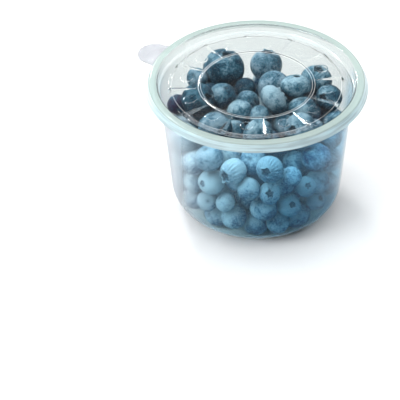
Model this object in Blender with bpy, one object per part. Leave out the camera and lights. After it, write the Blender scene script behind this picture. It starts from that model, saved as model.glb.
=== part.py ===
"""Round punnet of blueberries: a thin tapered tub, its clear press-fit lid with a pull tab, and the berries.

Every length below is in millimetres and becomes metres as a mesh is made. The origin is the centre of
the underside of the base, +Z is up and -Y is the front. The pull tab points to the back left. The
berries are one solid with an uneven outline: berries are placed, the rest are moved until they fit
the tub, and one skin is drawn over them all.
"""

import math

import bmesh
import bpy
import numpy as np
from mathutils import Matrix, Vector

MM = 0.001
SEGMENTS = 48

# The tub: one thin wall from the flat base to the lip that the lid snaps over.
TUB_THICKNESS = 0.6
BASE_RADIUS = 32.0
FOOT_ROUNDING = 14.3
FOOT_STEPS = 6
WALL_LEAN = math.radians(5.0)
WALL_TOP_RADIUS = 51.4
WALL_TOP = 72.3
LIP_TOP = 77.6
LIP_BOTTOM = 73.6
LIP_RADIUS = 57.0

# The lid: a sunk panel, a channel round it, a raised rim over the tub's lip, and a flared skirt.
LID_THICKNESS = 0.5
PANEL_TOP = 75.5
CHANNEL_TOP = 74.5
RIM_TOP = 78.5
BEAD_RADIUS = 30.3
BEAD_HEIGHT = 0.6
PANEL_EDGE_RADIUS = 45.2
CHANNEL_INNER_RADIUS = 46.7
CHANNEL_OUTER_RADIUS = 51.4
RIM_INNER_RADIUS = 52.8
RIM_OUTER_RADIUS = 56.9
SKIRT_RADIUS = 59.0
SKIRT_BOTTOM = 74.5

# Moulded relief on the lid: a rib and a small round boss in each twelfth of it, and the tab's grips.
LID_SECTORS = 12
FIRST_RIB_ANGLE = 7.0
RIB_HEIGHT = 0.7
RIB_INNER_WIDTH = 0.5
RIB_OUTER_WIDTH = 4.4
BOSS_RADIUS = 3.5
BOSS_HEIGHT = 0.3
BOSS_DISTANCE = 37.5
BOSS_SIDES = 12
TAB_ANGLE = 152.0
TAB_WIDTH = 19.0
TAB_REACH = 71.5
TAB_TOP = 75.0
GRIP_DISTANCES = (60.5, 62.0, 63.5, 65.0)
GRIP_SPREAD = 7.5
GRIP_HEIGHT = 0.3

# The berries: x, y and z of the centre, then the radius, of those that lie on top or at the front.
BERRY_CLEARANCE = 0.4
PLACED_BERRIES = (
    (-18.0, 32.2, 62.6, 11.0),
    (5.4, 32.7, 64.8, 8.6),
    (21.5, 12.0, 65.4, 7.9),
    (8.9, -0.4, 65.4, 7.2),
    (-18.2, 6.3, 62.9, 7.2),
    (32.3, 22.2, 62.1, 8.5),
    (9.4, 18.2, 61.0, 8.3),
    (-32.2, 22.5, 63.0, 5.8),
    (-31.0, 1.1, 64.2, 9.0),
    (-42.4, 3.5, 59.5, 5.6),
    (-4.8, 7.7, 57.7, 6.4),
    (-8.7, -4.1, 59.2, 7.1),
    (1.8, -9.1, 60.8, 5.7),
    (24.2, -1.0, 59.5, 7.2),
    (38.9, 8.5, 60.0, 7.1),
    (-21.6, -19.3, 60.9, 8.0),
    (-11.0, -14.5, 55.5, 5.9),
    (0.9, -24.0, 60.4, 7.9),
    (23.3, -22.0, 61.4, 8.8),
    (7.0, -40.6, 50.0, 6.9),
    (7.1, -40.9, 34.5, 5.5),
    (17.3, -35.6, 22.2, 6.2),
    (26.2, -32.1, 32.0, 5.4),
    (18.1, -38.1, 43.0, 5.4),
    (-23.5, -33.2, 35.8, 7.0),
    (-12.0, -39.1, 47.5, 7.1),
    (-25.9, -30.6, 21.2, 5.7),
    (-16.2, -37.9, 25.8, 5.2),
    (31.5, -24.1, 16.8, 5.7),
    (31.5, -23.8, 45.0, 7.8),
    (-6.0, 20.0, 58.5, 6.0),
    (-25.0, 16.0, 59.0, 4.8),
)
FILLING_BERRIES = 140
MOST_OVERLAP = 1.5
FILLING_RADIUS = 7.1
FILLING_SPREAD = 0.75
FILLING_LIMITS = (5.4, 8.8)
FILLING_HEIGHTS = (8.0, 58.0)
FILLING_SEED = 10
FILLING_ROUNDS = 400
HEAP_TOP = 60.5
HEAP_FLAT_RADIUS = 24.0
HEAP_FALL = 3.0
HEAP_FALL_BACK = 11.0
VALLEY_SIDE = -4.5
VALLEY_HALF_WIDTH = 3.0
VALLEY_TOP = 76.0
VALLEY_FALL = 0.7
VALLEY_BANK = 1.5

# The berries' outline: balls on a core that fills the gaps inside, drawn together as one skin.
BALL_SUBDIVISIONS = 3
CORE_INSET = 5.5
CORE_TOP = 44.0
CORE_DOME = (0.0, -5.0, 40.0)
CORE_DOME_RADII = (36.0, 34.0, 16.0)
SKIN_GRAIN = 1.3
SKIN_SHARE_KEPT = 0.041


def finish(name, base_color, roughness, alpha=1.0):
    """A Principled material for one piece."""
    material = bpy.data.materials.new(name)
    material.use_nodes = True
    shader = material.node_tree.nodes["Principled BSDF"]
    shader.inputs["Base Color"].default_value = (*base_color, 1.0)
    shader.inputs["Roughness"].default_value = roughness
    shader.inputs["Alpha"].default_value = alpha
    return material


def add_object(name, mesh_builder, material=None):
    """Turns a bmesh built in millimetres into a named object in metres."""
    mesh_builder.transform(Matrix.Scale(MM, 4))
    mesh = bpy.data.meshes.new(name)
    mesh_builder.to_mesh(mesh)
    mesh_builder.free()
    if material is not None:
        mesh.materials.append(material)
    mesh.shade_smooth()
    mesh.set_sharp_from_angle(angle=math.radians(35.0))
    new_object = bpy.data.objects.new(name, mesh)
    bpy.context.scene.collection.objects.link(new_object)
    return new_object


def offset_path(path, distance):
    """The path of (radius, height) points moved sideways to its left by a distance, with mitred corners."""
    points = [Vector(point) for point in path]
    moved = []
    for index, point in enumerate(points):
        before = (point - points[index - 1]).normalized() if index else None
        after = (points[index + 1] - point).normalized() if index + 1 < len(points) else None
        before, after = before or after, after or before
        left_before = Vector((-before.y, before.x))
        left_after = Vector((-after.y, after.x))
        mitre = (left_before + left_after).normalized()
        moved.append(point + mitre * (distance / mitre.dot(left_before)))
    moved[0].x = 0.0
    return moved


def turned_sheet(path, thickness):
    """A thin turned body, closed at its edge: the path and its copy a thickness to the left, spun round Z."""
    outline = [Vector(point) for point in path] + offset_path(path, thickness)[::-1]
    turned = bmesh.new()
    corners = [turned.verts.new((radius, 0.0, height)) for radius, height in outline]
    edges = [turned.edges.new(pair) for pair in zip(corners, corners[1:])]
    bmesh.ops.spin(
        turned,
        geom=corners + edges,
        cent=(0.0, 0.0, 0.0),
        axis=(0.0, 0.0, 1.0),
        angle=2.0 * math.pi,
        steps=SEGMENTS,
        use_merge=True,
    )
    bmesh.ops.remove_doubles(turned, verts=turned.verts, dist=0.001)
    bmesh.ops.recalc_face_normals(turned, faces=turned.faces)
    return turned


def tub_path():
    """Outer side of the tub from the axis to the lip's edge: base, foot, leaning wall, step and lip."""
    foot_turn = math.pi / 2.0 - WALL_LEAN
    foot = [
        (
            BASE_RADIUS + FOOT_ROUNDING * math.sin(foot_turn * step / FOOT_STEPS),
            FOOT_ROUNDING * (1.0 - math.cos(foot_turn * step / FOOT_STEPS)),
        )
        for step in range(FOOT_STEPS + 1)
    ]
    return [
        (0.0, 0.0),
        *foot,
        (WALL_TOP_RADIUS, WALL_TOP),
        (WALL_TOP_RADIUS + 1.7, WALL_TOP + 1.1),
        (WALL_TOP_RADIUS + 2.9, LIP_TOP - TUB_THICKNESS),
        (WALL_TOP_RADIUS + 4.0, LIP_TOP - TUB_THICKNESS),
        (LIP_RADIUS, LIP_BOTTOM),
    ]


def make_tub():
    """The tub, standing on its flat base."""
    material = finish("frosted_plastic", (0.80, 0.87, 0.89), 0.30, alpha=0.45)
    return add_object("tub", turned_sheet(tub_path(), TUB_THICKNESS), material)


def lid_path():
    """Underside of the lid from the axis to the skirt's edge, so that its copy to the left is the top."""
    bead_half = 0.65
    top = [
        (0.0, PANEL_TOP),
        (BEAD_RADIUS - bead_half, PANEL_TOP),
        (BEAD_RADIUS, PANEL_TOP + BEAD_HEIGHT),
        (BEAD_RADIUS + bead_half, PANEL_TOP),
        (PANEL_EDGE_RADIUS, PANEL_TOP),
        (CHANNEL_INNER_RADIUS, CHANNEL_TOP),
        (CHANNEL_OUTER_RADIUS, CHANNEL_TOP),
        (RIM_INNER_RADIUS - 0.3, RIM_TOP - 0.5),
        (RIM_INNER_RADIUS + 0.4, RIM_TOP),
        (RIM_OUTER_RADIUS - 0.6, RIM_TOP),
        (RIM_OUTER_RADIUS, RIM_TOP - 0.5),
        (SKIRT_RADIUS, SKIRT_BOTTOM),
    ]
    return offset_path(top, -LID_THICKNESS)


def add_prism(builder, low_outline, high_outline):
    """A closed body between two outlines that have the same number of corners."""
    low = [builder.verts.new(point) for point in low_outline]
    high = [builder.verts.new(point) for point in high_outline]
    builder.faces.new(low[::-1])
    builder.faces.new(high)
    for index in range(len(low)):
        following = (index + 1) % len(low)
        builder.faces.new((low[index], low[following], high[following], high[index]))


def add_rib(builder, angle):
    """A rib from the bead to the channel, wider and deeper at its outer end, where it braces the panel's edge."""
    inner = BEAD_RADIUS + 0.4
    outer = CHANNEL_INNER_RADIUS - 0.3
    bottom = PANEL_TOP - LID_THICKNESS / 2.0
    side = (
        (inner, bottom),
        (PANEL_EDGE_RADIUS, bottom),
        (outer, CHANNEL_TOP - LID_THICKNESS / 2.0),
        (outer, PANEL_TOP + RIB_HEIGHT),
        (inner, PANEL_TOP + RIB_HEIGHT),
    )
    turn = Matrix.Rotation(math.radians(angle), 3, "Z")

    def flank(sign):
        points = []
        for radius, height in side:
            share = (radius - inner) / (outer - inner)
            width = RIB_INNER_WIDTH + (RIB_OUTER_WIDTH - RIB_INNER_WIDTH) * share
            points.append(turn @ Vector((radius, sign * width / 2.0, height)))
        return points

    add_prism(builder, flank(1.0), flank(-1.0))


def add_boss(builder, angle):
    """A low round boss in the middle of one sector of the panel."""
    centre = Matrix.Rotation(math.radians(angle), 3, "Z") @ Vector((BOSS_DISTANCE, 0.0, 0.0))
    rings = []
    for height in (PANEL_TOP - LID_THICKNESS / 2.0, PANEL_TOP + BOSS_HEIGHT):
        ring = []
        for side in range(BOSS_SIDES):
            turn = 2.0 * math.pi * side / BOSS_SIDES
            offset = Vector((BOSS_RADIUS * math.cos(turn), BOSS_RADIUS * math.sin(turn), height))
            ring.append(centre + offset)
        rings.append(ring)
    add_prism(builder, *rings)


def add_tab(builder):
    """The flat pull tab: straight sides that leave the skirt's edge, and a round end."""
    turn = Matrix.Rotation(math.radians(TAB_ANGLE), 3, "Z")
    end_radius = TAB_WIDTH / 2.0
    end_centre = TAB_REACH - end_radius
    root = SKIRT_RADIUS - 0.6
    outline = [(root, -end_radius - 1.0)]
    for step in range(13):
        angle = math.pi * (step / 12.0 - 0.5)
        outline.append((end_centre + end_radius * math.cos(angle), end_radius * math.sin(angle)))
    outline.append((root, end_radius + 1.0))
    low = [turn @ Vector((x, y, TAB_TOP - LID_THICKNESS)) for x, y in outline]
    high = [turn @ Vector((x, y, TAB_TOP)) for x, y in outline]
    add_prism(builder, low, high)


def add_grips(builder):
    """Fine grip ridges across the tab, each following the rim's curve in two straight halves."""
    turn = Matrix.Rotation(math.radians(TAB_ANGLE), 3, "Z")
    for distance in GRIP_DISTANCES:
        half_angle = GRIP_SPREAD / distance
        outline = []
        for radius, direction in ((distance - 0.2, 1.0), (distance + 0.2, -1.0)):
            for share in (-1.0, 0.0, 1.0):
                angle = half_angle * share * direction
                outline.append((radius * math.cos(angle), radius * math.sin(angle)))
        outline = outline[::-1]
        low = [turn @ Vector((x, y, TAB_TOP - LID_THICKNESS / 2.0)) for x, y in outline]
        high = [turn @ Vector((x, y, TAB_TOP + GRIP_HEIGHT)) for x, y in outline]
        add_prism(builder, low, high)


def make_lid():
    """The lid: a turned sheet joined with its ribs, bosses, tab and grips."""
    material = finish("clear_plastic", (0.90, 0.95, 0.94), 0.08, alpha=0.30)
    lid = add_object("lid", turned_sheet(lid_path(), LID_THICKNESS), material)

    relief = bmesh.new()
    for sector in range(LID_SECTORS):
        rib_angle = FIRST_RIB_ANGLE + 360.0 / LID_SECTORS * sector
        add_rib(relief, rib_angle)
        add_boss(relief, rib_angle + 180.0 / LID_SECTORS)
    bmesh.ops.recalc_face_normals(relief, faces=relief.faces)
    join(lid, add_object("lid_relief", relief), "join_relief")

    for name, add_shape in (("lid_tab", add_tab), ("lid_grips", add_grips)):
        shape = bmesh.new()
        add_shape(shape)
        bmesh.ops.recalc_face_normals(shape, faces=shape.faces)
        join(lid, add_object(name, shape), f"join_{name}")
    return lid


def join(target, helper, name):
    """Unites a helper with the target and keeps the helper out of the model."""
    union = target.modifiers.new(name, "BOOLEAN")
    union.operation = "UNION"
    union.solver = "EXACT"
    union.object = helper
    helper.hide_render = True
    helper.display_type = "WIRE"


def heap_height(across, back):
    """How high the filling reaches: level under the lid's middle, lower towards the wall, most at the back.

    A valley runs back through it, between the two highest berries.
    """
    beyond = np.maximum(np.hypot(across, back) - HEAP_FLAT_RADIUS, 0.0)
    share = beyond / (WALL_TOP_RADIUS - HEAP_FLAT_RADIUS)
    towards_back = np.clip(back / WALL_TOP_RADIUS, 0.0, 1.0)
    heap = HEAP_TOP - (HEAP_FALL + HEAP_FALL_BACK * towards_back) * share**1.5
    bank = np.maximum(np.abs(across - VALLEY_SIDE) - VALLEY_HALF_WIDTH, 0.0) * VALLEY_BANK
    return np.minimum(heap, VALLEY_TOP - VALLEY_FALL * back + bank)


def keep_in_tub(centres, radii):
    """Moves balls so that none passes the tub's floor, foot, wall or the top of the heap."""
    inset = TUB_THICKNESS + BERRY_CLEARANCE
    distance = np.hypot(centres[:, 0], centres[:, 1])
    outward = centres[:, :2] / np.maximum(distance, 1e-6)[:, None]

    wall = WALL_TOP_RADIUS - (WALL_TOP - centres[:, 2]) * math.tan(WALL_LEAN)
    allowed = wall - (inset + radii) / math.cos(WALL_LEAN)
    distance = np.minimum(distance, allowed)

    low_limit = inset + radii
    from_foot = np.stack((distance - BASE_RADIUS, centres[:, 2] - FOOT_ROUNDING), axis=1)
    reach = np.linalg.norm(from_foot, axis=1)
    in_foot = (from_foot[:, 0] > 0.0) & (from_foot[:, 1] < 0.0)
    too_far = in_foot & (reach > FOOT_ROUNDING - inset - radii)
    shrink = np.where(too_far, (FOOT_ROUNDING - inset - radii) / np.maximum(reach, 1e-6), 1.0)
    distance = np.where(too_far, BASE_RADIUS + from_foot[:, 0] * shrink, distance)
    height = np.where(too_far, FOOT_ROUNDING + from_foot[:, 1] * shrink, centres[:, 2])

    height = np.maximum(height, low_limit)
    height = np.minimum(height, heap_height(*(outward * distance[:, None]).T) - radii)
    return np.column_stack((outward * distance[:, None], height))


def settled_berries():
    """Centres and radii of all the berries: the placed ones stay, the filling is pushed until it fits.

    A berry that finds no room is left out.
    """
    placed = np.array(PLACED_BERRIES)
    chance = np.random.default_rng(FILLING_SEED)
    sizes = chance.normal(FILLING_RADIUS, FILLING_SPREAD, FILLING_BERRIES)
    radii = np.concatenate((placed[:, 3], np.clip(sizes, *FILLING_LIMITS)))
    turn = chance.uniform(0.0, 2.0 * math.pi, FILLING_BERRIES)
    distance = WALL_TOP_RADIUS * 0.85 * np.sqrt(chance.uniform(0.0, 1.0, FILLING_BERRIES))
    height = chance.uniform(*FILLING_HEIGHTS, FILLING_BERRIES)
    filling = np.column_stack((distance * np.cos(turn), distance * np.sin(turn), height))
    centres = np.concatenate((placed[:, :3], filling))
    first = len(placed)
    touching = radii[:, None] + radii[None, :]
    np.fill_diagonal(touching, 0.0)
    for _ in range(FILLING_ROUNDS):
        apart = centres[:, None, :] - centres[None, :, :]
        gap = np.linalg.norm(apart, axis=2) + 1e-9
        overlap = np.maximum(touching - gap, 0.0)
        push = (apart / gap[:, :, None] * overlap[:, :, None]).sum(axis=1) * 0.35
        centres[first:] += push[first:]
        centres[first:] = keep_in_tub(centres, radii)[first:]
    kept = list(range(first))
    for index in range(first, len(radii)):
        gap = np.linalg.norm(centres[kept] - centres[index], axis=1)
        if (radii[kept] + radii[index] - gap).max() < MOST_OVERLAP:
            kept.append(index)
    return centres[kept], radii[kept]


def make_berries():
    """The berries as one closed body: every ball and the core under one skin, thinned to fewer facets."""
    centres, radii = settled_berries()
    heap = bmesh.new()
    for centre, radius in zip(centres, radii):
        place = Matrix.Translation(centre.tolist())
        bmesh.ops.create_icosphere(heap, subdivisions=BALL_SUBDIVISIONS, radius=radius, matrix=place)
    core_height = CORE_TOP - CORE_INSET
    bmesh.ops.create_cone(
        heap,
        cap_ends=True,
        segments=SEGMENTS,
        radius1=BASE_RADIUS,
        radius2=WALL_TOP_RADIUS - (WALL_TOP - CORE_TOP) * math.tan(WALL_LEAN) - TUB_THICKNESS - CORE_INSET,
        depth=core_height,
        matrix=Matrix.Translation((0.0, 0.0, CORE_INSET + core_height / 2.0)),
    )
    dome = Matrix.LocRotScale(Vector(CORE_DOME), None, Vector(CORE_DOME_RADII))
    bmesh.ops.create_icosphere(heap, subdivisions=BALL_SUBDIVISIONS, radius=1.0, matrix=dome)
    berries = add_object("berries", heap, finish("berry_skin", (0.10, 0.14, 0.24), 0.60))
    skin = berries.modifiers.new("one_skin", "REMESH")
    skin.mode = "VOXEL"
    skin.voxel_size = SKIN_GRAIN * MM
    skin.use_smooth_shade = True
    thinned = berries.modifiers.new("thinned", "DECIMATE")
    thinned.ratio = SKIN_SHARE_KEPT
    return berries


for leftover in list(bpy.data.objects):
    bpy.data.objects.remove(leftover, do_unlink=True)
make_tub()
make_lid()
make_berries()
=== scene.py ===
"""Round punnet of blueberries: a thin frosted tub, the berries in it, and a clear lid with a pull tab.

Sizes are in millimetres and become metres as a mesh is made. The tub stands on the floor at the
origin, +Z is up and -Y is the front.
"""

import math

import bmesh
import bpy
import numpy as np
from mathutils import Matrix, Vector


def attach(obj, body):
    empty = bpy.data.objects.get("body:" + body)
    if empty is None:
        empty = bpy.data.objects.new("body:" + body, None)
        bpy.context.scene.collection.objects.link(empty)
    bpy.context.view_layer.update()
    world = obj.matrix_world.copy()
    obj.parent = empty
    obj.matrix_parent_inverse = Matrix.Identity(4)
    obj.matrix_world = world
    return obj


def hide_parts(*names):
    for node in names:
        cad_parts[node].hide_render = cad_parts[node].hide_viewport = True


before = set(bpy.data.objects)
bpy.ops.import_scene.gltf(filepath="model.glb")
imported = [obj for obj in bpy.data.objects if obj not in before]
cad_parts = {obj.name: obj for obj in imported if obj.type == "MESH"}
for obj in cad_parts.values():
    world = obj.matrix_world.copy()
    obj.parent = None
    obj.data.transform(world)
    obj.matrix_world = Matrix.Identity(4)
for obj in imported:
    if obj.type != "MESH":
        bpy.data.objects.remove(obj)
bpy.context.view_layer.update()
MM = 0.001


# ---- Tub ----
# A thin tapered pot, thermoformed from one sheet of slightly frosted plastic. It has a flat base in a
# round foot, a leaning wall, and at the top a step and a lip that turns down. The lid presses over it.

TUB_THICKNESS = 0.6
TUB_TURNS = 192
WALL_LEAN = math.radians(5.0)
WALL_TOP_RADIUS = 51.4
WALL_TOP = 72.3
FOOT_ROUNDING = 14.3
LIP_TOP = 77.6
LIP_BOTTOM = 73.6
LIP_RADIUS = 57.0
BASE_DISH_RADIUS = 26.0
BASE_DISH_DEPTH = 0.35


def softened(corners, step=math.radians(12.0)):
    """The path through (radius, height, rounding) corners, with an arc at each one."""
    path = [Vector(corners[0][:2])]
    for before, corner, after in zip(corners, corners[1:], corners[2:]):
        here = Vector(corner[:2])
        incoming = (here - Vector(before[:2])).normalized()
        outgoing = (Vector(after[:2]) - here).normalized()
        turn = math.atan2(incoming.cross(outgoing), incoming.dot(outgoing))
        tangent = corner[2] * math.tan(abs(turn) / 2.0)
        start = here - incoming * tangent
        left = Vector((-incoming.y, incoming.x)) * math.copysign(corner[2], turn)
        centre = start + left
        steps = max(1, math.ceil(abs(turn) / step))
        for index in range(steps + 1):
            path.append(centre + Matrix.Rotation(turn * index / steps, 2) @ (start - centre))
    path.append(Vector(corners[-1][:2]))
    return path


def shifted(path, distance):
    """The path moved sideways to its left by a distance."""
    moved = []
    for index, point in enumerate(path):
        along = path[min(index + 1, len(path) - 1)] - path[max(index - 1, 0)]
        along.normalize()
        moved.append(point + Vector((-along.y, along.x)) * distance)
    moved[0].x = 0.0
    return moved


def sheet_outline(path, thickness):
    """Outline of a thin turned sheet: out along the path and back a thickness to its left."""
    other = shifted(path, thickness)
    middle = (path[-1] + other[-1]) / 2.0
    outward = path[-1] - middle
    edge = [middle + Matrix.Rotation(math.pi * share, 2) @ outward for share in (0.25, 0.5, 0.75)]
    return [*path, *edge, *other[::-1]]


def grid_faces(rings, around, first=0):
    """Faces of a body of rings between two single points, numbered point, rings, point."""
    start = first + 1
    last = start + rings * around
    faces = [(first, start + turn, start + (turn + 1) % around) for turn in range(around)]
    for ring in range(rings - 1):
        low = start + ring * around
        for turn in range(around):
            following = (turn + 1) % around
            faces.append((low + turn, low + around + turn, low + around + following, low + following))
    low = last - around
    faces += [(last, low + (turn + 1) % around, low + turn) for turn in range(around)]
    return faces


def turned_points(outline, angles, lift=None):
    """Points of the outline spun round Z and raised by what lift gives for a radius and angle."""
    radii = np.array([point[0] for point in outline])[1:-1, None]
    heights = np.array([point[1] for point in outline])[1:-1, None]
    angles = np.broadcast_to(angles, (len(radii), np.shape(angles)[-1]))
    z = heights + np.zeros_like(angles)
    if lift is not None:
        z = z + lift(radii, heights, angles)
    rings = np.stack((radii * np.cos(angles), radii * np.sin(angles), z), axis=2).reshape(-1, 3)
    first = (0.0, 0.0, outline[0][1])
    last = (0.0, 0.0, outline[-1][1])
    return np.concatenate(([first], rings, [last]))


def add_piece(name, points, faces, material):
    """A smooth-shaded object from points in millimetres and faces, facing out."""
    mesh = bpy.data.meshes.new(name)
    mesh.from_pydata((np.array(points) * MM).tolist(), [], faces)
    shape = bmesh.new()
    shape.from_mesh(mesh)
    bmesh.ops.recalc_face_normals(shape, faces=shape.faces)
    shape.to_mesh(mesh)
    shape.free()
    mesh.shade_smooth()
    mesh.materials.append(material)
    piece = bpy.data.objects.new(name, mesh)
    bpy.context.scene.collection.objects.link(piece)
    return piece


def new_material(name):
    """A material with its node tree, Principled shader and object coordinates in millimetres."""
    material = bpy.data.materials.new(name)
    material.use_nodes = True
    tree = material.node_tree
    place = tree.nodes.new("ShaderNodeTexCoord")
    scaled = tree.nodes.new("ShaderNodeVectorMath")
    scaled.operation = "SCALE"
    scaled.inputs["Scale"].default_value = 1.0 / MM
    tree.links.new(place.outputs["Object"], scaled.inputs[0])
    return material, tree, tree.nodes["Principled BSDF"], scaled.outputs[0]


def noise(tree, vector, scale, detail=3.0, roughness=0.5):
    """Value of a noise texture, with the scale in cells a millimetre."""
    texture = tree.nodes.new("ShaderNodeTexNoise")
    texture.inputs["Scale"].default_value = scale
    texture.inputs["Detail"].default_value = detail
    texture.inputs["Roughness"].default_value = roughness
    tree.links.new(vector, texture.inputs["Vector"])
    return texture.outputs["Fac"]


def spread(tree, value, low, high, to_low=0.0, to_high=1.0):
    """The value mapped from one range to another, smoothly and held at its ends."""
    mapped = tree.nodes.new("ShaderNodeMapRange")
    mapped.interpolation_type = "SMOOTHSTEP"
    mapped.inputs["From Min"].default_value = low
    mapped.inputs["From Max"].default_value = high
    mapped.inputs["To Min"].default_value = to_low
    mapped.inputs["To Max"].default_value = to_high
    tree.links.new(value, mapped.inputs["Value"])
    return mapped.outputs["Result"]


def mix_colours(tree, share, low, high):
    """A colour between two, each of which is a colour or a socket."""
    node = tree.nodes.new("ShaderNodeMix")
    node.data_type = "RGBA"
    tree.links.new(share, node.inputs["Factor"])
    for name, value in (("A", low), ("B", high)):
        socket = next(found for found in node.inputs if found.name == name and found.type == "RGBA")
        if isinstance(value, tuple):
            socket.default_value = (*value, 1.0)
        else:
            tree.links.new(value, socket)
    return next(found for found in node.outputs if found.type == "RGBA")


def bump(tree, shader, height, depth):
    """Fine relief of a depth in millimetres."""
    relief = tree.nodes.new("ShaderNodeBump")
    relief.inputs["Distance"].default_value = depth * MM
    tree.links.new(height, relief.inputs["Height"])
    tree.links.new(relief.outputs["Normal"], shader.inputs["Normal"])


def frosted_plastic():
    """Thin plastic, frosted and painted pale at the left, clear and painted deeper blue towards the
    right.

    The pale left is painted light: the key lamp at the left, scattered in the wall. The deeper blue at
    the right is painted shade over the plastic's faint blue. It is paler at the back, at the top and in
    the foot, and has a drawn sheet's waviness.
    """
    material, tree, shader, place = new_material("frosted_plastic")
    axes = tree.nodes.new("ShaderNodeSeparateXYZ")
    tree.links.new(place, axes.inputs[0])
    left = spread(tree, axes.outputs["X"], -48.0, -16.0)
    right = spread(tree, axes.outputs["X"], -22.0, 28.0)
    back = spread(tree, axes.outputs["Y"], -5.0, 20.0)
    upper = spread(tree, axes.outputs["Z"], 68.0, 73.0)
    foot = spread(tree, axes.outputs["Z"], 0.8, 3.5)
    # Painted light and shade: pale at the left, where the key lamp lights the wall, and deeper blue at
    # the right, away from it.
    colour = mix_colours(tree, left, (0.88, 0.92, 0.95), (0.58, 0.81, 0.91))
    colour = mix_colours(tree, right, colour, (0.27, 0.59, 0.77))
    colour = mix_colours(tree, upper, colour, (0.66, 0.80, 0.84))
    colour = mix_colours(tree, back, colour, (0.77, 0.81, 0.80))
    colour = mix_colours(tree, foot, (0.80, 0.90, 0.90), colour)
    tree.links.new(colour, shader.inputs["Base Color"])
    shader.inputs["Transmission Weight"].default_value = 0.97
    shader.inputs["IOR"].default_value = 1.3
    shader.inputs["Specular IOR Level"].default_value = 0.2
    shader.inputs["Specular Tint"].default_value = (0.30, 0.64, 1.0, 1.0)
    frost = spread(tree, axes.outputs["X"], -46.0, -22.0, 0.32, 0.08)
    tree.links.new(frost, shader.inputs["Roughness"])
    bump(tree, shader, noise(tree, place, 0.12, 1.0), 0.02)
    return material


def wall_radius(height):
    """Radius of the wall's outer side at a height."""
    return WALL_TOP_RADIUS - (WALL_TOP - height) * math.tan(WALL_LEAN)


def tub_path():
    """Outer side of the tub from the axis to the lip's edge."""
    top = LIP_TOP - TUB_THICKNESS
    return softened(
        [
            (0.0, BASE_DISH_DEPTH, 0.0),
            (BASE_DISH_RADIUS, BASE_DISH_DEPTH, 1.0),
            (BASE_DISH_RADIUS + 1.0, 0.0, 1.0),
            (wall_radius(0.0), 0.0, FOOT_ROUNDING),
            (WALL_TOP_RADIUS, WALL_TOP, 0.9),
            (WALL_TOP_RADIUS + 1.7, WALL_TOP + 1.1, 0.9),
            (WALL_TOP_RADIUS + 2.9, top, 0.5),
            (WALL_TOP_RADIUS + 4.0, top, 0.7),
            (LIP_RADIUS, LIP_BOTTOM, 0.0),
        ]
    )


tub_outline = sheet_outline(tub_path(), TUB_THICKNESS)
tub_angles = np.linspace(0.0, 2.0 * math.pi, TUB_TURNS, endpoint=False)
tub = add_piece(
    "tub_shell",
    turned_points(tub_outline, tub_angles),
    grid_faces(len(tub_outline) - 2, TUB_TURNS),
    frosted_plastic(),
)
tub.visible_shadow = False
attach(tub, "root")
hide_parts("tub")


# ---- Core of the filling ----
# The berries in the middle, which no one sees: one dark lumpy mass of them, under and behind the
# loose ones.

CORE_RADIUS = 27.0
CORE_BOTTOM = 12.0
CORE_TOP = 42.0
CORE_MIDDLE = (CORE_TOP + CORE_BOTTOM) / 2.0
CORE_HALF_HEIGHT = (CORE_TOP - CORE_BOTTOM) / 2.0
CORE_TURNS = 64
CORE_RINGS = 32
CORE_LUMP = 0.05


def make_core():
    """A round block with soft corners, lumpy all over."""
    points = [(0.0, 0.0, CORE_TOP)]
    for ring in range(1, CORE_RINGS):
        polar = math.pi * ring / CORE_RINGS
        out = math.sin(polar) ** 0.5
        up = math.copysign(abs(math.cos(polar)) ** 0.5, math.cos(polar))
        for turn in np.linspace(0.0, 2.0 * math.pi, CORE_TURNS, endpoint=False):
            lump = 1.0 + CORE_LUMP * math.sin(7.0 * turn + 4.0 * polar) * math.sin(9.0 * polar)
            reach = CORE_RADIUS * out * lump
            height = CORE_MIDDLE + CORE_HALF_HEIGHT * up * lump
            points.append((reach * math.cos(turn), reach * math.sin(turn), height))
    points.append((0.0, 0.0, CORE_BOTTOM))
    return points


def in_core(point):
    """Whether a point is inside the core."""
    across = math.hypot(point[0], point[1]) / CORE_RADIUS
    up = (point[2] - CORE_MIDDLE) / CORE_HALF_HEIGHT
    return across**4 + up**4 < 1.0


def core_skin():
    """Dark skin in deep shade, mottled with bloom."""
    material, tree, shader, place = new_material("core_skin")
    mottle = spread(tree, noise(tree, place, 0.2, 4.0, 0.65), 0.4, 0.7)
    colour = mix_colours(tree, mottle, (0.010, 0.026, 0.050), (0.050, 0.090, 0.140))
    tree.links.new(colour, shader.inputs["Base Color"])
    shader.inputs["Roughness"].default_value = 0.7
    bump(tree, shader, mottle, 0.5)
    return material


core = add_piece("filling_core", make_core(), grid_faces(CORE_RINGS - 1, CORE_TURNS), core_skin())
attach(core, "root")


# ---- Berries ----
# Fresh blueberries, tipped in loose so that they face all ways. Each is a slightly flat ball with a
# five-pointed crown round a dark pit at one end, and its dark skin wears a pale waxy bloom, rubbed in
# places. They rest against one another, the wall and the base, and reach almost to the lid.

BERRY_CLEARANCE = 0.4
FILLING_BERRIES = 140
MOST_OVERLAP = 1.5
FILLING_RADIUS = 7.1
FILLING_SPREAD = 0.75
FILLING_LIMITS = (5.4, 8.8)
FILLING_HEIGHTS = (8.0, 58.0)
FILLING_WIDTHS = (0.99, 1.03)
FILLING_FLATNESS = (0.84, 0.96)
FILLING_PITS = (0.27, 0.40)
FILLING_CREASES = (-0.5, 0.5)
FILLING_BLOOM = (0.10, 0.35)
MOST_FILLING_BLOOM = 0.62
SHARE_TURNED_AWAY = 0.6
FILLING_SEED = 10
BERRY_SEED = 27
FILLING_ROUNDS = 400
HEAP_TOP = 60.5
HEAP_FLAT_RADIUS = 24.0
HEAP_FALL = 3.0
HEAP_FALL_BACK = 11.0
VALLEY_SIDE = -4.5
VALLEY_HALF_WIDTH = 3.0
VALLEY_TOP = 76.0
VALLEY_FALL = 0.7
VALLEY_BANK = 1.5
BASE_RADIUS = 32.0
PRESS_GAP = 0.15
PANEL_UNDERSIDE = 75.0

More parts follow.
